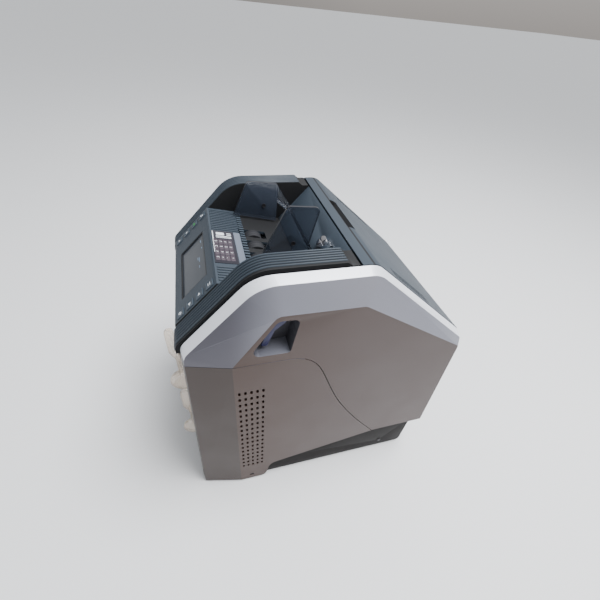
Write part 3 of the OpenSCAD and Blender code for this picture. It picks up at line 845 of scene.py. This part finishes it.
def ring(name, x, y, radius, z=0.00098):
    bpy.ops.object.select_all(action="DESELECT")
    bpy.ops.mesh.primitive_torus_add(
        major_radius=radius, minor_radius=0.0003, major_segments=28, minor_segments=6,
        location=(x, y, z),
    )
    return apply_all(named(name))


def key_symbol(side, row):
    """Generic signs: arrows, a bar, a cross, a ring and a start triangle."""
    quarter, eighth = math.pi / 2, math.pi / 4
    signs = {
        ("right", 1): lambda: [
            bar("s", 0, 0.0014, 0.0042, 0.0007), bar("s", 0, -0.0014, 0.0042, 0.0007)
        ],
        ("right", 2): lambda: [triangle("s", 0, 0, 0.0024, quarter)],
        ("right", 3): lambda: [triangle("s", 0, 0, 0.0024, -quarter)],
        ("right", 4): lambda: [
            ring("s", 0, 0, 0.0018), bar("s", 0, 0.0016, 0.0006, 0.0018)
        ],
        ("left", 1): lambda: [ring("s", 0, 0, 0.0018)],
        ("left", 2): lambda: [
            bar("s", 0, 0, 0.005, 0.0012), bar("s", 0, 0, 0.0012, 0.005)
        ],
        ("left", 3): lambda: [
            bar("s", 0, 0, 0.0042, 0.0008, eighth), bar("s", 0, 0, 0.0042, 0.0008, -eighth)
        ],
        ("left", 4): lambda: [triangle("s", 0, 0, 0.0022, 0.0)],
    }
    marks = signs[(side, row)]()
    finish = "Print Green" if (side, row) == ("left", 2) else "Print White"
    return [use_materials(m, finish) for m in marks]


class VALIDATOR_OT_keys(bpy.types.Operator):
    """Eight soft keys, each with a dished top and a printed sign"""

    bl_idname = "validator.keys"
    bl_label = "Soft Keys"

    def execute(self, context):
        for side, sign in SIDES:
            for row in range(1, 5):
                cap = block("cap", (-KEY_HALF, -KEY_HALF, -0.003), (KEY_HALF, KEY_HALF, 0.001))
                use_materials(cap, "Key Cap")
                inset(cap, lambda c, n: n.z > 0.9, 0.0008, -0.00015)
                bevel(cap, 0.0004, 3)
                stem = drum("stem", (0, 0, -0.0036), "Z", 0.003, 0.0019, 32)
                use_materials(stem, "Key Cap")
                piece = join(f"softkey_{side}_{row}", [cap, stem] + key_symbol(side, row))
                place = Matrix.Translation((sign * KEY_COLUMN, (2.5 - row) * KEY_PITCH, 0))
                moved(piece, ON_FACE @ place)
                smooth(piece)
                settle(piece, f"key_{side}_{row}_cap", "key_plastic", f"key_{side}_{row}")
        return {"FINISHED"}


def digit(text, x, y, size, z):
    """One printed character as thin geometry."""
    bpy.ops.object.select_all(action="DESELECT")
    bpy.ops.object.text_add(location=(x, y, z))
    obj = bpy.context.object
    obj.data.body = text
    obj.data.size = size
    obj.data.extrude = 0.00006
    obj.data.align_x = "CENTER"
    obj.data.align_y = "CENTER"
    obj.data.resolution_u = 2
    bpy.ops.object.convert(target="MESH")
    obj = apply_all(bpy.context.object)
    return use_materials(obj, "Print White")


class VALIDATOR_OT_keypad(bpy.types.Operator):
    """Keypad film with a header, sixteen cells, digits and a light panel behind it"""

    bl_idname = "validator.keypad"
    bl_label = "Keypad"

    def execute(self, context):
        film = block("film", (-0.023, 0.0015, 0.00002), (0.047, 0.0285, 0.0008))
        use_materials(film, "Keypad Film")
        inset(film, lambda c, n: n.z > 0.9, 0.0008, -0.0001)
        bevel(film, 0.0003, 2)
        cell_w, cell_h = 0.0104, 0.0052
        parts = [film]
        labels = ("1", "2", "3", "+", "4", "5", "6", "-", "7", "8", "9", "=", "0", "C", "F", "E")
        for column in range(4):
            for row in range(4):
                x = 0.0010 + column * 0.0114
                y = 0.0052 + (3 - row) * 0.0057
                cell = block("cell", (x - 0.0035, y - cell_h / 2 + 0.0002, 0.0006),
                             (x - 0.0035 + cell_w, y + cell_h / 2, 0.0010))
                use_materials(cell, "Keypad Cell")
                bevel(cell, 0.00025, 2)
                parts.append(cell)
                parts.append(digit(labels[row * 4 + column], x + 0.0012, y, 0.0042, 0.00104))
        for x, y, w, h in (
            (-0.0190, 0.0070, 0.0060, 0.0100), (-0.0110, 0.0065, 0.0018, 0.0190),
            (-0.0185, 0.0200, 0.0016, 0.0055), (-0.0150, 0.0200, 0.0016, 0.0055),
            (-0.0078, 0.0065, 0.0012, 0.0190),
        ):
            head = block("head", (x, y, 0.0006), (x + w, y + h, 0.0009))
            use_materials(head, "Print White")
            parts.append(bevel(head, 0.0002, 2))
        strip = block("strip", (-0.021, 0.0022, 0.0006), (0.026, 0.0034, 0.0009))
        use_materials(strip, "Print White")
        bevel(strip, 0.0001, 1)
        parts.append(strip)
        piece = join("keypad_film", parts)
        moved(piece, ON_DECK)
        settle(piece, "upper_unit", "keypad_film", "keypad_pad")
        panel = block("deck_panel", (-0.023, 0.0292, 0.0), (0.050, 0.0375, 0.0006))
        use_materials(panel, "Keypad Panel")
        inset(panel, lambda c, n: n.z > 0.9, 0.0006, -0.0001)
        bevel(panel, 0.0002, 2)
        moved(panel, ON_DECK)
        settle(panel, "upper_unit", "slate_plastic")
        return {"FINISHED"}


class VALIDATOR_OT_deck(bpy.types.Operator):
    """Ribs on the feed deck beside the keypad, and the comb at the rollers"""

    bl_idname = "validator.deck"
    bl_label = "Feed Deck"

    def execute(self, context):
        groups = []
        for start, count in ((-0.0795, 12), (0.0535, 6)):
            rib = block("rib", (start, 0.0025, -0.0004), (start + 0.0022, 0.0375, 0.0011))
            bevel(rib, 0.0005, 2)
            groups.append(repeat(rib, count, (0.0046, 0, 0)))
        ribs = join("deck_ribs", groups)
        use_materials(ribs, "Slate Moulding")
        moved(ribs, ON_DECK)
        settle(ribs, "upper_unit", "slate_plastic")
        tooth = block("comb", (-0.0785, 0.0378, -0.0004), (-0.0755, 0.0445, 0.0016))
        bevel(tooth, 0.0006, 2)
        comb = repeat(tooth, 27, (0.0059, 0, 0))
        use_materials(comb, "Light Slate")
        moved(comb, ON_DECK)
        comb.name = "deck_comb"
        settle(comb, "upper_unit", "slate_plastic")
        return {"FINISHED"}


class VALIDATOR_OT_feed_rollers(bpy.types.Operator):
    """Pick-up shaft: three grooved rubber tyres on hubs"""

    bl_idname = "validator.feed_rollers"
    bl_label = "Feed Rollers"

    def execute(self, context):
        low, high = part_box("pickup_shaft")
        centre = (low + high) / 2
        rod_r, tyre_r, tyre_w, groove_w = 0.003, 0.013, 0.014, 0.0022
        rod = drum("rod", centre, "X", rod_r, high.x - low.x, 32)
        parts = [use_materials(rod, "Bearing Steel")]
        for x in ROLLER_XS:
            at = (x, centre.y, centre.z)
            tyre = drum("tyre", at, "X", tyre_r, tyre_w, 64)
            use_materials(tyre, "Roller Rubber", "Black Moulding")
            inset(tyre, lambda c, n: abs(n.x) > 0.9, 0.0035, -0.002, 1)
            bevel(tyre, 0.0006, 2)
            parts.append(tyre)
            groove = drum("groove", at, "X", tyre_r + 0.00012, groove_w, 64)
            use_materials(groove, "Black Moulding")
            parts.append(bevel(groove, 0.0003, 2))
        piece = join("feed_rollers", parts)
        smooth(piece)
        settle(piece, "pickup", "roller_rubber", "pickup_shaft")
        return {"FINISHED"}


class VALIDATOR_OT_note_guides(bpy.types.Operator):
    """Two smoky note guides, each with its screw"""

    bl_idname = "validator.note_guides"
    bl_label = "Note Guides"

    def execute(self, context):
        for side, x, y in (("left", -0.070, -0.047), ("right", 0.030, -0.030)):
            node = f"note_guide_{side}"
            plate = refined(node, "plate", 0.0006)
            use_materials(plate, "Smoke", "Smoke Edge")
            paint(plate, 1, lambda c, n: abs(n.x) < 0.3 and c.z > 0.39)
            head = drum("head", (x + 0.0021, y, 0.3945), "X", 0.0028, 0.0012, 32)
            use_materials(head, "Dark Screw")
            inset(head, lambda c, n: n.x > 0.9, 0.0006, -0.0003)
            bevel(head, 0.0002, 2)
            piece = join(f"guide_{side}_plate", [plate, head])
            settle(piece, f"guide_{side}", "smoke_plastic", node)
        return {"FINISHED"}


class VALIDATOR_OT_knob(bpy.types.Operator):
    """Chrome gap knob, and the plugged hole beside it"""

    bl_idname = "validator.knob"
    bl_label = "Gap Knob"

    def execute(self, context):
        obj = refined("gap_knob", "chrome_knob", 0.0006, 3)
        use_materials(obj, "Chrome")
        settle(obj, "knob", "chrome_plate", "gap_knob")
        hole = drum("plug_hole", (0, 0, 0), "Z", 0.0042, 0.0012, 40)
        use_materials(hole, "Light Slate", "Pocket Black")
        # Painted shade: the sunk centre of the hole is painted black.
        inset(hole, lambda c, n: n.z > 0.9, 0.0008, -0.001, 1)
        bevel(hole, 0.0002, 2)
        moved(hole, ON_BACK @ Matrix.Translation((0.057, 0.046, 0.0003)))
        settle(hole, "upper_unit", "light_slate_plastic")
        return {"FINISHED"}


# ---- front, levers, rear ---------------------------------------------------------------------


class VALIDATOR_OT_pockets(bpy.types.Operator):
    """Front frame and the two clear stops"""

    bl_idname = "validator.pockets"
    bl_label = "Pockets"

    def execute(self, context):
        obj = refined("front_frame", "pocket_frame", 0.0008, 3)
        use_materials(obj, "Black Moulding")
        settle(obj, "chassis", "black_plastic", "front_frame")
        for level in ("upper", "lower"):
            node = f"pocket_stop_{level}"
            stop = refined(node, f"{level}_stop", 0.0008, 3)
            use_materials(stop, "Clear Stop")
            settle(stop, f"stop_{level}", "clear_plastic", node)
        return {"FINISHED"}


class VALIDATOR_OT_stackers(bpy.types.Operator):
    """Stacker shafts with their vane wheels, and the two transport shafts"""

    bl_idname = "validator.stackers"
    bl_label = "Stackers"

    def execute(self, context):
        for level in ("upper", "lower"):
            node = f"stacker_wheels_{level}"
            obj = refined(node, f"{level}_vanes", 0.0003)
            use_materials(obj, "Vane Rubber", "Bearing Steel")
            paint(obj, 1, lambda c, n: abs(c.x) > 0.051)
            settle(obj, f"stacker_{level}", "stacker_rubber", node)
        for place in ("front", "rear"):
            node = f"transport_shaft_{place}"
            obj = refined(node, f"{place}_rollers", 0.0005)
            use_materials(obj, "Roller Rubber", "Bearing Steel")
            paint(obj, 1, lambda c, n: abs(c.x) > 0.070)
            settle(obj, f"transport_{place}", "roller_rubber", node)
        return {"FINISHED"}


class VALIDATOR_OT_levers(bpy.types.Operator):
    """Release levers in the side recesses"""

    bl_idname = "validator.levers"
    bl_label = "Release Levers"

    def execute(self, context):
        for side, _ in SIDES:
            node = f"release_lever_{side}"
            obj = refined(node, f"{side}_lever", 0.0008, 3)
            use_materials(obj, "Lever Blue")
            settle(obj, f"lever_{side}", "blue_plastic", node)
        return {"FINISHED"}


def behind_skin(centre, normal):
    """The finger pull, the louvre walls and the inner face of the rear cover, which are painted black as
    painted shade.
    """
    local = ON_LID.inverted() @ centre
    across = ON_LID.to_3x3().inverted() @ normal
    pull = abs(local.x) < 0.0375 and -0.0235 < local.y < -0.0095 and local.z < -0.0002
    louvre = 0.087 < abs(local.x) < 0.107 and abs(across.z) < 0.3 and 0.02 < local.y < 0.11
    return pull or louvre or across.z < -0.8


class VALIDATOR_OT_rear_cover(bpy.types.Operator):
    """Rear cover with its finger pull and louvres"""

    bl_idname = "validator.rear_cover"
    bl_label = "Rear Cover"

    def execute(self, context):
        obj = refined("rear_cover", "rear_housing", 0.0)
        use_materials(obj, "Slate Moulding", "Pocket Black")
        # Painted shade: the finger pull, the louvre walls and the inner face are painted black.
        paint(obj, 1, behind_skin)
        bevel(obj, settings().edge, 2, 35)
        settle(obj, "rear_door", "slate_plastic", "rear_cover")
        return {"FINISHED"}


class VALIDATOR_OT_power(bpy.types.Operator):
    """Mains inlet with three blades, and the rocker switch"""

    bl_idname = "validator.power"
    bl_label = "Power Inlet And Switch"

    def execute(self, context):
        inlet = refined("power_inlet", "inlet", 0.0006)
        use_materials(inlet, "Inlet Gloss")
        parts = [inlet]
        for x, z in ((0.036, 0.0415), (0.050, 0.0415), (0.043, 0.0475)):
            blade = block("blade", (x - 0.001, 0.166, z - 0.002), (x + 0.001, 0.178, z + 0.002))
            use_materials(blade, "Bearing Steel")
            parts.append(bevel(blade, 0.0003, 2))
        piece = join("mains_inlet", parts)
        settle(piece, "chassis", "gloss_black_plastic", "power_inlet")
        rocker = refined("power_switch", "rocker", 0.0004)
        use_materials(rocker, "Inlet Gloss")
        settle(rocker, "switch", "gloss_black_plastic", "power_switch")
        return {"FINISHED"}


# ---- stage -----------------------------------------------------------------------------------


def area_light(name, place, target, size, power, colour):
    bpy.ops.object.select_all(action="DESELECT")
    bpy.ops.object.light_add(type="AREA", location=place)
    lamp = bpy.context.object
    lamp.name = name
    lamp.data.shape = "DISK"
    lamp.data.size = size
    lamp.data.energy = power
    lamp.data.color = colour
    aim = Vector(target) - Vector(place)
    lamp.rotation_euler = aim.to_track_quat("-Z", "Y").to_euler()
    return lamp


def gradient_sky(tree, background):
    """A cool bright ceiling that fades to a dim warm wall in front of the machine."""
    nodes, link = tree.nodes, tree.links.new
    place = nodes.new("ShaderNodeTexCoord")
    split = nodes.new("ShaderNodeSeparateXYZ")
    link(place.outputs["Generated"], split.inputs["Vector"])
    height = nodes.new("ShaderNodeMapRange")
    height.inputs["From Min"].default_value = -0.1
    height.inputs["From Max"].default_value = 0.9
    height.inputs["To Min"].default_value = 0.3
    height.inputs["To Max"].default_value = 1.5
    link(split.outputs["Z"], height.inputs["Value"])
    depth = nodes.new("ShaderNodeMapRange")
    depth.inputs["From Min"].default_value = -0.8
    depth.inputs["From Max"].default_value = 0.4
    depth.inputs["To Min"].default_value = 0.25
    depth.inputs["To Max"].default_value = 1.0
    link(split.outputs["Y"], depth.inputs["Value"])
    product = nodes.new("ShaderNodeMath")
    product.operation = "MULTIPLY"
    link(height.outputs["Result"], product.inputs[0])
    link(depth.outputs["Result"], product.inputs[1])
    tint = nodes.new("ShaderNodeMix")
    tint.data_type = "RGBA"
    tint.inputs["A"].default_value = (0.9, 0.78, 0.68, 1)
    tint.inputs["B"].default_value = (0.93, 0.96, 1.0, 1)
    link(height.outputs["Result"], tint.inputs["Factor"])
    link(tint.outputs["Result"], background.inputs["Color"])
    link(product.outputs["Value"], background.inputs["Strength"])


class VALIDATOR_OT_stage(bpy.types.Operator):
    """Camera, pale floor and soft studio light"""

    bl_idname = "validator.stage"
    bl_label = "Stage"

    def execute(self, context):
        bpy.ops.object.select_all(action="DESELECT")
        bpy.ops.object.camera_add(
            location=(0.3608, -0.1288, 0.6102),
            rotation=[math.radians(a) for a in (48.26, -4.81, 74.94)],
        )
        camera = bpy.context.object
        camera.name = "camera"
        camera.data.sensor_width = 36.0
        camera.data.lens = 20.09
        camera.data.clip_start = 0.01
        context.scene.camera = camera
        bpy.ops.mesh.primitive_plane_add(size=120, location=(0, 0, 0))
        floor = named("floor")
        white = bpy.data.materials.new("Floor White")
        white.use_nodes = True
        shader = white.node_tree.nodes["Principled BSDF"]
        shader.inputs["Base Color"].default_value = (0.92, 0.92, 0.92, 1)
        shader.inputs["Roughness"].default_value = 0.9
        use_materials(floor, "Floor White")
        world = bpy.data.worlds.new("Studio")
        context.scene.world = world
        world.use_nodes = True
        sky = world.node_tree.nodes["Background"]
        sky.inputs["Strength"].default_value = 1.0
        gradient_sky(world.node_tree, sky)
        area_light("key", (0.3, 0.5, 1.9), (0, 0, 0.3), 1.0, 60, (0.95, 0.97, 1.0))
        area_light("fill", (1.7, 1.1, 0.7), (0, 0, 0.2), 1.0, 5, (1.0, 0.93, 0.87))
        return {"FINISHED"}


BUILD_ORDER = (
    "materials", "side_panels", "side_covers", "base", "upper_cover", "rail_ribs", "display",
    "keys", "keypad", "deck", "feed_rollers", "note_guides", "knob", "pockets", "stackers",
    "levers", "rear_cover", "power", "stage",
)


class VALIDATOR_PT_panel(bpy.types.Panel):
    """Sizes, colours and build buttons"""

    bl_label = "Banknote Validator"
    bl_idname = "VALIDATOR_PT_panel"
    bl_space_type = "VIEW_3D"
    bl_region_type = "UI"
    bl_category = "Validator"

    def draw(self, context):
        column = self.layout.column()
        for name in ValidatorSettings.__annotations__:
            column.prop(context.scene.validator, name)
        for name in BUILD_ORDER:
            column.operator(f"validator.{name}")


CLASSES = (
    ValidatorSettings, VALIDATOR_OT_materials, VALIDATOR_OT_side_panels, VALIDATOR_OT_side_covers,
    VALIDATOR_OT_base, VALIDATOR_OT_upper_cover, VALIDATOR_OT_rail_ribs, VALIDATOR_OT_display,
    VALIDATOR_OT_keys, VALIDATOR_OT_keypad, VALIDATOR_OT_deck, VALIDATOR_OT_feed_rollers,
    VALIDATOR_OT_note_guides, VALIDATOR_OT_knob, VALIDATOR_OT_pockets, VALIDATOR_OT_stackers,
    VALIDATOR_OT_levers, VALIDATOR_OT_rear_cover, VALIDATOR_OT_power, VALIDATOR_OT_stage,
    VALIDATOR_PT_panel,
)


def register():
    for cls in CLASSES:
        bpy.utils.register_class(cls)
    bpy.types.Scene.validator = bpy.props.PointerProperty(type=ValidatorSettings)


def unregister():
    del bpy.types.Scene.validator
    for cls in reversed(CLASSES):
        bpy.utils.unregister_class(cls)


def main():
    register()
    for name in BUILD_ORDER:
        getattr(bpy.ops.validator, name)()


if __name__ == "__main__":
    main()
